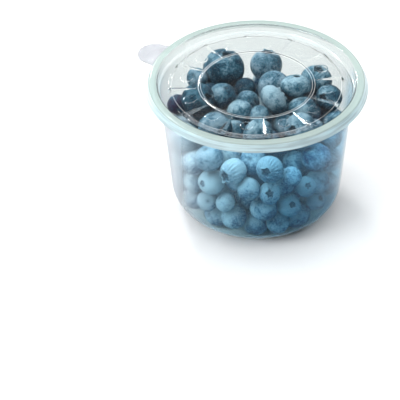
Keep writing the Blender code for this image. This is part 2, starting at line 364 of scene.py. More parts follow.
# Berries that lie on top or at the front: x, y, z and radius; then the way the crown points as seen
# from the front and above, as right, up and nearer, or that it is turned away; then its width and
# its height in radii, the width of its pit, how deep its creases are, and how pale its bloom is.
SEEN_FROM_ABOVE = math.radians(35.0)
AWAY = "away"
PLACED_BERRIES = (
    ((-18.0, 32.2, 62.6, 11.0), (0.20, 0.75, 0.63), 1.05, 0.97, 0.26, 0.35, 0.16),
    ((5.4, 32.7, 64.8, 8.6), (0.05, 0.85, 0.45), 1.02, 0.96, 0.34, 0.30, 0.42),
    ((21.5, 12.0, 65.4, 7.9), (0.03, 0.92, 0.30), 1.17, 0.76, 0.24, 0.25, 0.42),
    ((8.9, -0.4, 65.4, 7.2), (0.80, 0.60, -0.15), 1.19, 0.82, 0.30, 0.0, 0.62),
    ((-18.2, 6.3, 62.9, 7.2), AWAY, 1.02, 0.95, 0.30, 0.0, 0.25),
    ((32.3, 22.2, 62.1, 8.5), (0.20, 0.75, 0.55), 1.05, 0.88, 0.34, 0.2, 0.35),
    ((9.4, 18.2, 61.0, 8.3), AWAY, 1.05, 0.95, 0.30, 0.0, 0.40),
    ((-32.2, 22.5, 63.0, 5.8), AWAY, 1.03, 0.90, 0.30, 0.0, 0.35),
    ((-31.0, 1.1, 64.2, 9.0), (0.68, 0.20, 0.70), 1.03, 0.90, 0.24, 0.1, 0.00),
    ((-42.4, 3.5, 59.5, 5.6), AWAY, 1.00, 0.95, 0.30, 0.0, 0.15),
    ((-4.8, 7.7, 57.7, 6.4), AWAY, 1.03, 0.92, 0.30, 0.0, 0.30),
    ((-8.7, -4.1, 59.2, 7.1), AWAY, 1.03, 0.92, 0.30, 0.0, 0.35),
    ((1.8, -9.1, 60.8, 5.7), (0.05, 0.85, -0.50), 0.98, 1.08, 0.26, 0.0, 0.30),
    ((24.2, -1.0, 59.5, 7.2), (0.1, -0.9, -0.4), 1.10, 0.84, 0.30, 0.0, 0.40),
    ((38.9, 8.5, 60.0, 7.1), (-0.60, 0.0, 0.80), 1.03, 0.90, 0.34, 0.3, 0.20),
    ((-21.6, -19.3, 60.9, 8.0), (0.1, 0.8, -0.6), 1.14, 0.84, 0.30, 0.0, 0.34),
    ((-11.0, -14.5, 55.5, 5.9), AWAY, 1.03, 0.90, 0.30, 0.0, 0.35),
    ((0.9, -24.0, 60.4, 7.9), AWAY, 1.03, 0.92, 0.30, 0.1, 0.32),
    ((23.3, -22.0, 61.4, 8.8), (-0.62, 0.00, 0.78), 1.03, 0.90, 0.28, 0.1, 0.46),
    ((7.0, -40.6, 50.0, 6.9), (-0.34, -0.22, 0.91), 1.05, 0.88, 0.30, 1.0, 0.74),
    ((7.1, -40.9, 34.5, 5.5), (0.0, -0.05, 1.0), 1.12, 0.92, 0.34, 0.5, 0.82),
    ((17.3, -35.6, 22.2, 6.2), (0.35, 0.10, 0.93), 1.08, 0.90, 0.30, 1.0, 0.74),
    ((26.2, -32.1, 32.0, 5.4), (0.17, 0.17, 0.97), 1.03, 0.90, 0.28, 0.6, 0.94),
    ((18.1, -38.1, 43.0, 5.4), AWAY, 1.05, 0.95, 0.30, 0.0, 0.70),
    ((-23.5, -33.2, 35.8, 7.0), (-0.75, -0.10, 0.65), 1.02, 1.00, 0.30, 0.0, 0.92),
    ((-12.0, -39.1, 47.5, 7.1), (-0.66, -0.40, 0.63), 1.00, 0.95, 0.44, 1.0, 0.80),
    ((-25.9, -30.6, 21.2, 5.7), AWAY, 1.04, 0.90, 0.30, 0.0, 0.82),
    ((-16.2, -37.9, 25.8, 5.2), AWAY, 1.03, 0.90, 0.30, 0.0, 0.82),
    ((31.5, -24.1, 16.8, 5.7), (0.60, 0.20, 0.77), 1.03, 0.90, 0.32, 0.2, 0.76),
    ((31.5, -23.8, 45.0, 7.8), AWAY, 1.03, 0.90, 0.30, 0.0, 0.25),
    ((-6.0, 20.0, 58.5, 6.0), AWAY, 1.00, 0.95, 0.30, 0.0, -0.10),
    ((-25.0, 16.0, 59.0, 4.8), AWAY, 1.00, 0.95, 0.30, 0.0, 0.00),
)
PURPLE_BERRY = 9
RED_DOT_BERRY = 17
RED_DOT_SIDE = np.array((-0.55, -0.84, 0.55))

# Painted light: the bloom is made thicker on the side of each berry that faces up and left, towards the
# lamps, so that side is lighter.
# Painted light too: the berries under the top layer get a bluer, paler colour and thicker bloom, and
# those next to the front wall thicker bloom, most at the left. This stands for the light scattered in
# the frosted wall.
PAINTED_LIGHT_SIDE = np.array((-0.45, -0.15, 0.88))
PAINTED_LIGHT_BLOOM = 0.28
BLUE_DEPTH = 7.0
BLUE_BLOOM = 0.25
LEFT_WALL_PAINTED_LIGHT = 1.6
RIGHT_WALL_PAINTED_LIGHT = 0.5
MOST_PURPLE = 0.50


def heap_height(across, back):
    """How high the filling reaches: level under the lid's middle and lower towards the wall.

    It falls most at the back, and a valley runs back through it, between the two highest berries.
    """
    beyond = np.maximum(np.hypot(across, back) - HEAP_FLAT_RADIUS, 0.0)
    share = beyond / (WALL_TOP_RADIUS - HEAP_FLAT_RADIUS)
    towards_back = np.clip(back / WALL_TOP_RADIUS, 0.0, 1.0)
    heap = HEAP_TOP - (HEAP_FALL + HEAP_FALL_BACK * towards_back) * share**1.5
    bank = np.maximum(np.abs(across - VALLEY_SIDE) - VALLEY_HALF_WIDTH, 0.0) * VALLEY_BANK
    return np.minimum(heap, VALLEY_TOP - VALLEY_FALL * back + bank)


def keep_in_tub(centres, radii):
    """Moves balls so that none passes the tub's floor, foot, wall or the top of the heap."""
    inset = TUB_THICKNESS + BERRY_CLEARANCE
    distance = np.hypot(centres[:, 0], centres[:, 1])
    outward = centres[:, :2] / np.maximum(distance, 1e-6)[:, None]

    allowed = wall_radius(centres[:, 2]) - (inset + radii) / math.cos(WALL_LEAN)
    distance = np.minimum(distance, allowed)

    from_foot = np.stack((distance - BASE_RADIUS, centres[:, 2] - FOOT_ROUNDING), axis=1)
    reach = np.linalg.norm(from_foot, axis=1)
    in_foot = (from_foot[:, 0] > 0.0) & (from_foot[:, 1] < 0.0)
    too_far = in_foot & (reach > FOOT_ROUNDING - inset - radii)
    shrink = np.where(too_far, (FOOT_ROUNDING - inset - radii) / np.maximum(reach, 1e-6), 1.0)
    distance = np.where(too_far, BASE_RADIUS + from_foot[:, 0] * shrink, distance)
    height = np.where(too_far, FOOT_ROUNDING + from_foot[:, 1] * shrink, centres[:, 2])

    height = np.maximum(height, inset + radii)
    height = np.minimum(height, heap_height(*(outward * distance[:, None]).T) - radii)
    return np.column_stack((outward * distance[:, None], height))


def settled_berries():
    """Centres and radii of all the berries: the placed ones stay, the filling is pushed until it fits.

    A berry that finds no room is left out.
    """
    placed = np.array([row[0] for row in PLACED_BERRIES])
    chance = np.random.default_rng(FILLING_SEED)
    sizes = chance.normal(FILLING_RADIUS, FILLING_SPREAD, FILLING_BERRIES)
    radii = np.concatenate((placed[:, 3], np.clip(sizes, *FILLING_LIMITS)))
    turn = chance.uniform(0.0, 2.0 * math.pi, FILLING_BERRIES)
    distance = WALL_TOP_RADIUS * 0.85 * np.sqrt(chance.uniform(0.0, 1.0, FILLING_BERRIES))
    height = chance.uniform(*FILLING_HEIGHTS, FILLING_BERRIES)
    filling = np.column_stack((distance * np.cos(turn), distance * np.sin(turn), height))
    centres = np.concatenate((placed[:, :3], filling))
    first = len(placed)
    touching = radii[:, None] + radii[None, :]
    np.fill_diagonal(touching, 0.0)
    for _ in range(FILLING_ROUNDS):
        apart = centres[:, None, :] - centres[None, :, :]
        gap = np.linalg.norm(apart, axis=2) + 1e-9
        overlap = np.maximum(touching - gap, 0.0)
        push = (apart / gap[:, :, None] * overlap[:, :, None]).sum(axis=1) * 0.35
        centres[first:] += push[first:]
        centres[first:] = keep_in_tub(centres, radii)[first:]
    kept = list(range(first))
    for index in range(first, len(radii)):
        gap = np.linalg.norm(centres[kept] - centres[index], axis=1)
        if (radii[kept] + radii[index] - gap).max() < MOST_OVERLAP:
            kept.append(index)
    return centres[kept], radii[kept]


# One berry's surface runs in rings from the middle of its pit to the stem's scar. In the pit the rings
# are shares of its radius; beyond, they are angles from the crown's axis.
PIT_RINGS = (0.25, 0.50, 0.72, 0.88, 1.0, 1.10, 1.22, 1.50)
PIT_FLOOR_EDGE = 0.75
LOBES = 5
TEARS = ((3, 0.06), (7, 0.06), (11, 0.05), (17, 0.04))
PIT_DEPTHS = (0.22, 0.42)
LEAST_CREST = 0.10
FLARES = (0.35, 0.70)
MOST_SHOULDER = 0.12
MOST_OVAL = 0.07
STEM_DENT = 0.05
CREASE_COUNTS = (19, 25)
CREASE_DEPTH = 0.034
LUMP = 0.011
RIDGE_SIDE = math.radians(50.0)

# How finely a berry is made: points round it and rings down its body, for one with strong creases,
# one on top or in front, one by the wall, and one that lies deeper.
RIDGED = (170, 18)
FINE = (50, 14)
MEDIUM = (25, 9)
COARSE = (12, 6)
HIDDEN_DEPTH = 13.0


def berry_rings(chance, width, height, pit, creases, around, body_rings):
    """Points and skin masks of one berry round the origin, in millimetres, with its crown on +Z."""
    turn = np.linspace(0.0, 2.0 * math.pi, around, endpoint=False)
    lobe_turn = turn * LOBES / (2.0 * math.pi) + chance.uniform(0.0, 1.0)
    place_in_lobe = lobe_turn % 1.0
    lobe = np.abs(2.0 * place_in_lobe - 1.0) ** 1.2
    strength = chance.uniform(0.3, 1.3, LOBES)
    strengths = np.append(strength, strength[0])
    ragged = np.interp(lobe_turn % LOBES, np.arange(LOBES + 1), strengths)
    lobe = np.clip(lobe * ragged + chance.normal(0.0, 0.12, around), 0.0, 1.4)
    torn = 1.0 + sum(
        size * np.sin(count * turn + chance.uniform(0.0, 2.0 * math.pi)) for count, size in TEARS
    )
    pit_radius = pit * width
    depth = pit_radius * chance.uniform(*PIT_DEPTHS)
    crest = pit_radius * (LEAST_CREST + pit * chance.uniform(0.6, 1.2))
    flare = chance.uniform(*FLARES)
    shoulder = chance.uniform(0.0, MOST_SHOULDER)
    oval = 1.0 - chance.uniform(0.0, MOST_OVAL)
    oval_turn = chance.uniform(0.0, math.pi)

    def body_height(radius):
        share = np.clip(radius / width, 0.0, 1.0)
        dent = shoulder * height * np.exp(-((radius / (0.55 * width)) ** 2))
        return height * (1.0 - share**2.2) ** 0.5 - dent

    radii = []
    heights = []
    pit_mask = []
    rim_mask = []
    floor = body_height(pit_radius) - depth
    for share in PIT_RINGS:
        spread_out = np.clip((share - 0.4) / 0.7, 0.0, 1.0)
        spread_out *= np.clip((1.9 - share) / 0.8, 0.0, 1.0)
        radius = pit_radius * share * (1.0 + (flare * (lobe - 0.45) + torn - 1.0) * spread_out)
        rise = np.clip((share - PIT_FLOOR_EDGE) / (1.0 - PIT_FLOOR_EDGE), 0.0, 1.0)
        tip = math.exp(-(((share - 1.10) / 0.10) ** 2))
        scar = 0.18 * depth * math.exp(-((share / 0.28) ** 2))
        surface = body_height(radius) + crest * lobe * tip
        radii.append(radius)
        rough = floor + scar + chance.normal(0.0, 0.08, around) * depth
        heights.append(rough * (1.0 - rise) + surface * rise)
        in_pit = 1.0 - 0.25 * math.exp(-((share / 0.3) ** 2)) if share < 1.0 else 0.0
        pit_mask.append(np.full(around, in_pit))
        rim_mask.append(tip * np.clip(lobe, 0.0, 1.0))
    first_angle = math.asin(min(pit_radius * PIT_RINGS[-1] / width, 0.95))
    crease_count = int(chance.integers(*CREASE_COUNTS))
    crease_turn = chance.uniform(0.0, 2.0 * math.pi, 3)
    wander = 1.6 * np.sin(2.0 * turn + crease_turn[1])
    wave = np.cos(crease_count * turn + crease_turn[0] + wander)
    wave = wave * (0.60 + 0.40 * np.cos(turn - RIDGE_SIDE))
    wave = wave * (0.75 + 0.25 * np.cos(5.0 * turn + crease_turn[2]))
    for angle in np.linspace(first_angle, math.pi, body_rings + 2)[1:-1]:
        radius = width * math.sin(angle) ** 0.93
        if angle < math.pi / 2.0:
            level = body_height(radius)
        else:
            level = -height * (1.0 - (radius / width) ** 2.3) ** 0.5
        dent = STEM_DENT * width * math.exp(-((math.pi - angle) / 0.28) ** 2)
        fade = creases * math.exp(-(((angle - first_angle) / 0.75) ** 2))
        crease = CREASE_DEPTH * fade * wave
        radii.append(radius * (1.0 + crease))
        heights.append(level + dent + width * crease)
        stem = math.exp(-(((math.pi - angle) / 0.16) ** 2))
        # The stem's scar is marked dark, and so are the creases' grooves, where the dark is painted
        # shade.
        pit_mask.append(stem + 0.45 * fade * np.clip(-wave, 0.0, 1.0))
        # The crests of the creases are marked for a pale colour: a painted highlight.
        rim_mask.append(0.9 * fade * np.clip(wave, 0.0, 1.0) ** 2)
    radii = np.array(radii)
    squeeze = 1.0 - (1.0 - oval) * (0.5 + 0.5 * np.cos(2.0 * (turn - oval_turn)))
    radii = radii * squeeze[None, :]
    x = radii * np.cos(turn)
    y = radii * np.sin(turn)
    rings = np.stack((x, y, np.array(heights)), axis=2).reshape(-1, 3)
    bottom = -height + STEM_DENT * width
    ends = np.array(((0.0, 0.0, floor + 0.22 * depth), (0.0, 0.0, bottom)))
    body = np.concatenate((ends[:1], rings, ends[1:]))
    direction = body / np.maximum(np.linalg.norm(body, axis=1), 1e-6)[:, None]
    lumps = sum(
        np.sin(direction @ chance.normal(0.0, 2.2, 3) + chance.uniform(0.0, 2.0 * math.pi))
        for _ in range(3)
    )
    body = body * (1.0 + LUMP * lumps)[:, None]
    in_pit = np.concatenate(([1.0], np.array(pit_mask).ravel(), [1.0]))
    on_rim = np.concatenate(([0.0], np.array(rim_mask).ravel(), [0.0]))
    return body, in_pit, on_rim


def berry_turn(chance, crown):
    """Rotation that points a berry's crown the way it faces."""
    towards = Vector((0.0, -math.cos(SEEN_FROM_ABOVE), math.sin(SEEN_FROM_ABOVE)))
    upward = Vector((0.0, math.sin(SEEN_FROM_ABOVE), math.cos(SEEN_FROM_ABOVE)))
    if crown is None:
        axis = Vector(chance.normal(0.0, 1.0, 3))
    elif crown == AWAY:
        axis = Vector(chance.normal(0.0, 1.0, 3))
        axis -= towards * (axis.dot(towards) + abs(axis.dot(towards)) + 0.6)
    else:
        axis = Vector((crown[0], 0.0, 0.0)) + upward * crown[1] + towards * crown[2]
    most_spin = math.pi if crown is None or crown == AWAY else 0.3
    spin = Matrix.Rotation(chance.uniform(-most_spin, most_spin), 3, "Z")
    return np.array(axis.normalized().to_track_quat("Z", "Y").to_matrix() @ spin)


def bloom_and_painted_light_skin():
    """Dark skin under a pale waxy bloom that is patchy, speckled and rubbed, and browner in the pit,
    with painted light and shade from the marks it reads.
    """
    material, tree, shader, _ = new_material("bloom_and_painted_light_skin")

    def attribute(name, output="Fac"):
        read = tree.nodes.new("ShaderNodeAttribute")
        read.attribute_name = name
        return read.outputs[output]

    def combine(operation, first, second):
        node = tree.nodes.new("ShaderNodeMath")
        node.operation = operation
        for socket, value in zip(node.inputs, (first, second)):
            if isinstance(value, float):
                socket.default_value = value
            else:
                tree.links.new(value, socket)
        return node.outputs[0]

    place = attribute("skin_place", "Vector")
    patches = spread(tree, noise(tree, place, 0.14, 4.0, 0.55), 0.32, 0.68, -0.27, 0.27)
    mottle = spread(tree, noise(tree, place, 0.90, 4.0, 0.60), 0.30, 0.70, -0.18, 0.18)
    dust = spread(tree, noise(tree, place, 4.2, 2.0), 0.58, 0.74, 0.0, 0.35)
    pores = spread(tree, noise(tree, place, 2.4, 1.0), 0.60, 0.76, 0.0, -0.20)
    bloom = combine("ADD", attribute("bloom"), patches)
    for part in (mottle, dust, pores):
        bloom = combine("ADD", bloom, part)
    bloom = spread(tree, bloom, -0.15, 1.15)
    # The blue mark paints light: skin, bloom and pit are bluer and paler on the berries lower in the
    # heap.
    skin = mix_colours(tree, attribute("blue"), (0.003, 0.018, 0.033), (0.006, 0.034, 0.100))
    skin = mix_colours(tree, attribute("purple"), skin, (0.020, 0.009, 0.030))
    hazy = mix_colours(tree, attribute("blue"), (0.027, 0.092, 0.136), (0.062, 0.150, 0.232))
    waxed = mix_colours(tree, attribute("blue"), (0.207, 0.316, 0.370), (0.400, 0.520, 0.570))
    waxed = mix_colours(tree, attribute("purple"), waxed, (0.090, 0.080, 0.150))
    colour = mix_colours(tree, spread(tree, bloom, 0.0, 0.55), skin, hazy)
    colour = mix_colours(tree, spread(tree, bloom, 0.35, 1.0), colour, waxed)
    # Pale on the crown's lobes, and on the crease crests as a painted highlight.
    on_rim = combine("MULTIPLY", attribute("on_rim"), 0.75)
    colour = mix_colours(tree, on_rim, colour, (0.340, 0.470, 0.530))
    # The pit and the stem's scar are dark, and the crease grooves take the same dark as painted shade.
    in_pit = combine("MULTIPLY", attribute("in_pit"), 0.85)
    pit = mix_colours(tree, attribute("blue"), (0.012, 0.020, 0.028), (0.030, 0.070, 0.110))
    colour = mix_colours(tree, in_pit, colour, pit)
    colour = mix_colours(tree, attribute("red_dot"), colour, (0.300, 0.020, 0.050))
    tree.links.new(colour, shader.inputs["Base Color"])
    tree.links.new(spread(tree, bloom, 0.0, 1.0, 0.42, 0.68), shader.inputs["Roughness"])
    shader.inputs["Specular IOR Level"].default_value = 0.05
    shader.inputs["Specular Tint"].default_value = (0.70, 0.88, 1.0, 1.0)
    shader.inputs["Sheen Weight"].default_value = 0.03
    shader.inputs["Sheen Tint"].default_value = (0.75, 0.88, 1.0, 1.0)
    grain = combine("ADD", noise(tree, place, 1.6, 3.0), noise(tree, place, 5.0, 2.0))
    bump(tree, shader, grain, 0.12)
    return material


def pressed_in(points):
    """The points moved in where they would pass the tub's inner side or the lid's panel.

    A berry looks pressed flat there.
    """
    gap = TUB_THICKNESS + PRESS_GAP
    points[:, 2] = np.clip(points[:, 2], gap + BASE_DISH_DEPTH, PANEL_UNDERSIDE - PRESS_GAP)
    distance = np.hypot(points[:, 0], points[:, 1])
    wall = wall_radius(points[:, 2]) - gap / math.cos(WALL_LEAN)
    low = np.clip(points[:, 2] - FOOT_ROUNDING, -(FOOT_ROUNDING - gap), 0.0)
    foot = BASE_RADIUS + np.sqrt((FOOT_ROUNDING - gap) ** 2 - low**2)
    limit = np.where(points[:, 2] < FOOT_ROUNDING, np.minimum(foot, wall), wall)
    points[:, :2] *= np.minimum(limit / np.maximum(distance, 1e-6), 1.0)[:, None]
    return points


def make_berries():
    """All the berries as one mesh, with their skin's attributes."""
    centres, radii = settled_berries()
    chance = np.random.default_rng(BERRY_SEED)
    points = []
    faces = []
    marks = {name: [] for name in ("in_pit", "on_rim", "bloom", "blue", "purple", "red_dot")}
    places = []
    count = 0
    for index, (centre, radius) in enumerate(zip(centres, radii)):
        from_wall = wall_radius(centre[2]) - math.hypot(centre[0], centre[1])
        # Painted light: berries lower in the heap get bluer, paler colours for the light that the
        # frosted wall scatters over them.
        blue = float(np.clip((HEAP_TOP - BLUE_DEPTH - centre[2]) / BLUE_DEPTH, 0.0, 1.0))
        if index < len(PLACED_BERRIES):
            _, crown, width, height, pit, creases, bloom = PLACED_BERRIES[index]
            around, body_rings = RIDGED if creases >= 0.4 else FINE
        else:
            crown = AWAY if chance.uniform() < SHARE_TURNED_AWAY else None
            width = chance.uniform(*FILLING_WIDTHS)
            height = chance.uniform(*FILLING_FLATNESS)
            pit = chance.uniform(*FILLING_PITS)
            creases = max(0.0, chance.uniform(*FILLING_CREASES))
            in_front = max(-centre[1], 0.0) / WALL_TOP_RADIUS
            sideways = centre[0] / WALL_TOP_RADIUS
            # Painted light: fillers at the front next to the wall, most at the left, get more bloom, so
            # they look paler.
            wall_painted_light = max(-LEFT_WALL_PAINTED_LIGHT * sideways, RIGHT_WALL_PAINTED_LIGHT * sideways) * in_front
            bloom = chance.uniform(*FILLING_BLOOM) + BLUE_BLOOM * blue + wall_painted_light
            bloom = min(bloom, MOST_FILLING_BLOOM)
            depth = min(from_wall, centre[2], HEAP_TOP - centre[2])
            around, body_rings = MEDIUM if depth < HIDDEN_DEPTH + radius else COARSE
        body, in_pit, on_rim = berry_rings(
            chance, width * radius, height * radius, pit, creases, around, body_rings
        )
        turn = berry_turn(chance, crown)
        place = body + chance.uniform(-400.0, 400.0, 3)
        purple = max(float(index == PURPLE_BERRY), chance.uniform(0.0, MOST_PURPLE) ** 2)
        if in_core(centre):
            continue
        faces += grid_faces(len(PIT_RINGS) + body_rings, around, count)
        places.append(place)
        marks["in_pit"].append(in_pit)
        marks["on_rim"].append(on_rim)
        marks["blue"].append(np.full(len(body), blue))
        marks["purple"].append(np.full(len(body), purple))
        turned = body @ turn.T
        # Painted light: more bloom, so a lighter colour, on the side that faces up and left.
        facing_light = turned @ PAINTED_LIGHT_SIDE / np.maximum(np.linalg.norm(turned, axis=1), 1e-6)
        marks["bloom"].append(bloom + PAINTED_LIGHT_BLOOM * facing_light)
        from_dot = np.linalg.norm(turned - radius * RED_DOT_SIDE, axis=1)
        points.append(turned + centre)
        red_dot = np.clip(1.6 - from_dot / 0.7, 0.0, 1.0) * (index == RED_DOT_BERRY)
        marks["red_dot"].append(red_dot)
        count += len(body)
    piece = add_piece("blueberries", pressed_in(np.concatenate(points)), faces, bloom_and_painted_light_skin())
    for name, values in marks.items():
        layer = piece.data.attributes.new(name, "FLOAT", "POINT")
        layer.data.foreach_set("value", np.concatenate(values).astype(np.float32))
    layer = piece.data.attributes.new("skin_place", "FLOAT_VECTOR", "POINT")
    layer.data.foreach_set("vector", np.concatenate(places).astype(np.float32).ravel())
    return piece


berries = make_berries()
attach(berries, "root")
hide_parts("berries")


# ---- Lid ----
# A clear thermoformed lid that presses over the tub's lip: a sunk panel with a fine round bead, a rib
# and a small round boss in each twelfth, a channel, a raised rim, a flared skirt and a flat pull tab.

LID_THICKNESS = 0.5
PANEL_TOP = 75.5
CHANNEL_TOP = 74.5
RIM_TOP = 78.5
BEAD_RADIUS = 30.3
BEAD_HALF = 0.65
BEAD_HEIGHT = 0.14
PANEL_EDGE_RADIUS = 45.2
CHANNEL_INNER_RADIUS = 46.7
CHANNEL_OUTER_RADIUS = 51.4
RIM_INNER_RADIUS = 52.6
RIM_OUTER_RADIUS = 56.9
SKIRT_RADIUS = 59.0
SKIRT_BOTTOM = 74.5
LID_SECTORS = 12
FIRST_RIB_ANGLE = math.radians(7.0)
RIB_HEIGHT = 0.7
RIB_INNER_WIDTH = 0.5
RIB_OUTER_WIDTH = 4.4
RIB_START = BEAD_RADIUS + 0.4
RIB_END = CHANNEL_INNER_RADIUS - 0.3
BOSS_RADIUS = 3.5
BOSS_HEIGHT = 0.15
BOSS_EDGE = 0.5
BOSS_DISTANCE = 37.5
LID_SHARP_ANGLE = math.radians(14.0)
LID_IOR = 1.38

# Painted highlights, where the bends of the bead's two edges and the panel's edge catch the light: from
# and to a radius.
HIGHLIGHT_BANDS = ((29.58, 29.72), (30.87, 31.03), (45.0, 45.12))

# Material slots after the clear plastic's, in the order in which make_lid adds them.
RIM_SLOT = 1
TAB_SLOT = 2
HIGHLIGHT_SLOT = 3
SKIRT_SLOT = 4


def lid_path():
    """Top of the lid from the axis to the skirt's edge."""
    bosses = np.arange(BOSS_DISTANCE - BOSS_RADIUS - 0.4, BOSS_DISTANCE + BOSS_RADIUS + 0.5, 0.4)
    start = softened(
        [
            (0.0, PANEL_TOP, 0.0),
            (BEAD_RADIUS - BEAD_HALF, PANEL_TOP, 0.5),
            (BEAD_RADIUS, PANEL_TOP + BEAD_HEIGHT, 0.35),
            (BEAD_RADIUS + BEAD_HALF, PANEL_TOP, 0.5),
            (BOSS_DISTANCE - BOSS_RADIUS - 0.8, PANEL_TOP, 0.0),
        ]
    )
    end = softened(
        [
            (BOSS_DISTANCE + BOSS_RADIUS + 0.8, PANEL_TOP, 0.0),
            (PANEL_EDGE_RADIUS, PANEL_TOP, 0.6),
            (CHANNEL_INNER_RADIUS, CHANNEL_TOP, 0.6),
            (CHANNEL_OUTER_RADIUS, CHANNEL_TOP, 0.6),
            (RIM_INNER_RADIUS, RIM_TOP, 1.3),
            (RIM_OUTER_RADIUS, RIM_TOP, 1.3),
            (SKIRT_RADIUS, SKIRT_BOTTOM, 0.0),
        ]
    )
    return [*start, *(Vector((radius, PANEL_TOP)) for radius in bosses), *end]


def split_at(path, radii):
    """The path with a point added where it passes each radius."""
    points = [path[0]]
    for here, following in zip(path, path[1:]):
        for radius in radii:
            if here.x < radius < following.x:
                points.append(here.lerp(following, (radius - here.x) / (following.x - here.x)))
        points.append(following)
    return points


def rib_half_width(radii):
    """Half of a rib's width at each radius, which grows outwards."""
    share = np.clip((radii - RIB_START) / (RIB_END - RIB_START), 0.0, 1.0)
    return (RIB_INNER_WIDTH + (RIB_OUTER_WIDTH - RIB_INNER_WIDTH) * share) / 2.0


def lid_angles(radii):
    """Angles round the lid at each radius, which follow the ribs' edges and are close at the bosses."""
    radii = np.array(radii)[:, None]
    shares = np.array((-1.5, -1.0, -0.98, -0.5, -0.02, 0.02, 0.5, 0.98, 1.0, 1.5))
    rib = shares * rib_half_width(radii) / np.maximum(radii, RIB_START)
    steps = np.radians(np.concatenate(([4.5], 15.0 + np.linspace(-6.5, 6.5, 27), [25.5])))
    sector = np.hstack((rib, np.broadcast_to(steps, (len(radii), len(steps)))))
    starts = FIRST_RIB_ANGLE + 2.0 * math.pi / LID_SECTORS * np.arange(LID_SECTORS)
    return (starts[None, :, None] + sector[:, None, :]).reshape(len(radii), -1)


def lid_relief(radii, heights, angles):
    """How far the ribs and bosses raise the lid's upper side."""
    sector = 2.0 * math.pi / LID_SECTORS
    from_rib = (angles - FIRST_RIB_ANGLE + sector / 2.0) % sector - sector / 2.0
    half_width = rib_half_width(radii)
    tent = np.clip(1.0 - np.abs(radii * np.sin(from_rib)) / half_width, 0.0, 1.0)
    crest = PANEL_TOP + RIB_HEIGHT * half_width / (RIB_OUTER_WIDTH / 2.0)
    ends = np.clip((radii - RIB_START) / 0.6, 0.0, 1.0)
    ends = ends * np.clip((RIB_END + 0.4 - radii) / 0.6, 0.0, 1.0)
    rib = (crest - heights) * tent * ends

    from_boss = (angles - FIRST_RIB_ANGLE) % sector - sector / 2.0
    away = np.hypot(radii * np.cos(from_boss) - BOSS_DISTANCE, radii * np.sin(from_boss))
    edge = np.clip((BOSS_RADIUS - away) / BOSS_EDGE, 0.0, 1.0)
    boss = BOSS_HEIGHT * edge * edge * (3.0 - 2.0 * edge)
    upper = heights > CHANNEL_TOP - LID_THICKNESS / 4.0
    return np.where(upper, np.maximum(rib, 0.0) + boss, 0.0)


def lid_plastic(name, colour, transmission, clouds, roughness):
    """The lid's plastic, a little rougher in clouds of a scale and detail."""
    material, tree, shader, place = new_material(name)
    shader.inputs["Base Color"].default_value = (*colour, 1.0)
    shader.inputs["Transmission Weight"].default_value = transmission
    shader.inputs["IOR"].default_value = LID_IOR
    cloud = noise(tree, place, *clouds)
    tree.links.new(spread(tree, cloud, 0.3, 0.7, *roughness), shader.inputs["Roughness"])
    return material, tree, shader, place


def clear_plastic():
    """Clear glossy plastic."""
    material, tree, shader, place = lid_plastic(
        "clear_plastic", (0.830, 0.850, 0.850), 1.0, (0.10, 2.0), (0.04, 0.09)
    )
    bump(tree, shader, noise(tree, place, 0.10, 1.0), 0.015)
    return material


STREAK_SCALE = (0.05, 0.05, 1.1)


def milky_plastic(name, colour, transmission, streaks=0.0):
    """The same plastic where it is thicker or less stretched, a little milky, with level streaks."""
    material, tree, shader, place = lid_plastic(name, colour, transmission, (0.15, 2.0), (0.08, 0.15))
    if streaks > 0.0:
        level = tree.nodes.new("ShaderNodeVectorMath")
        level.operation = "MULTIPLY"
        level.inputs[1].default_value = STREAK_SCALE
        tree.links.new(place, level.inputs[0])
        share = spread(tree, noise(tree, level.outputs[0], 1.0, 2.0), 0.35, 0.65)
        darker = tuple(value * (1.0 - streaks) for value in colour)
        tree.links.new(mix_colours(tree, share, darker, colour), shader.inputs["Base Color"])
    return material


def painted_highlight_plastic():
    """The same plastic, white and rough along the sharp bends: a painted highlight."""
    return lid_plastic("painted_highlight_plastic", (0.93, 0.96, 0.96), 0.45, (0.5,), (0.35, 0.6))[0]


TAB_ANGLE = math.radians(152.0)
TAB_HALF_WIDTH = 9.5
TAB_REACH = 71.5
TAB_TOP = 75.0
TAB_ROOT = SKIRT_RADIUS - 0.3
TAB_FLARE = 0.12
TAB_GRID = (31, 90)
GRIP_DISTANCES = (60.5, 62.0, 63.5, 65.0)
GRIP_SPREAD = 7.5
GRIP_HALF_WIDTH = 0.32
GRIP_HEIGHT = 0.3


def tab_points(across_count, along_count):
    """Upper and lower points of the pull tab, row by row from its root to its round end."""
    across = np.sin(np.linspace(-0.5, 0.5, across_count) * math.pi)[None, :]
    share = np.linspace(0.0, 1.0, along_count)[:, None]
    end_centre = TAB_REACH - TAB_HALF_WIDTH
    reach = end_centre + TAB_HALF_WIDTH * np.sqrt(np.maximum(1.0 - across**2, 0.0))
    root = np.sqrt(TAB_ROOT**2 - (TAB_HALF_WIDTH * across) ** 2)
    out = root + (reach - root) * share
    side = TAB_HALF_WIDTH * across * (1.0 + TAB_FLARE * (1.0 - share) ** 3)
    distance = np.hypot(out, side)
    ridge = np.zeros_like(distance)
    for grip in GRIP_DISTANCES:
        hump = np.clip(1.0 - ((distance - grip) / GRIP_HALF_WIDTH) ** 2, 0.0, 1.0)
        ridge += hump * np.clip((GRIP_SPREAD - np.abs(side)) / 0.6, 0.0, 1.0)
    top = TAB_TOP + GRIP_HEIGHT * ridge
    bottom = np.full_like(top, TAB_TOP - LID_THICKNESS)
    return [
        np.stack(
            (
                out * math.cos(TAB_ANGLE) - side * math.sin(TAB_ANGLE),
                out * math.sin(TAB_ANGLE) + side * math.cos(TAB_ANGLE),
                z,
            ),
            axis=2,
        ).reshape(-1, 3)
        for z in (top, bottom)
    ]


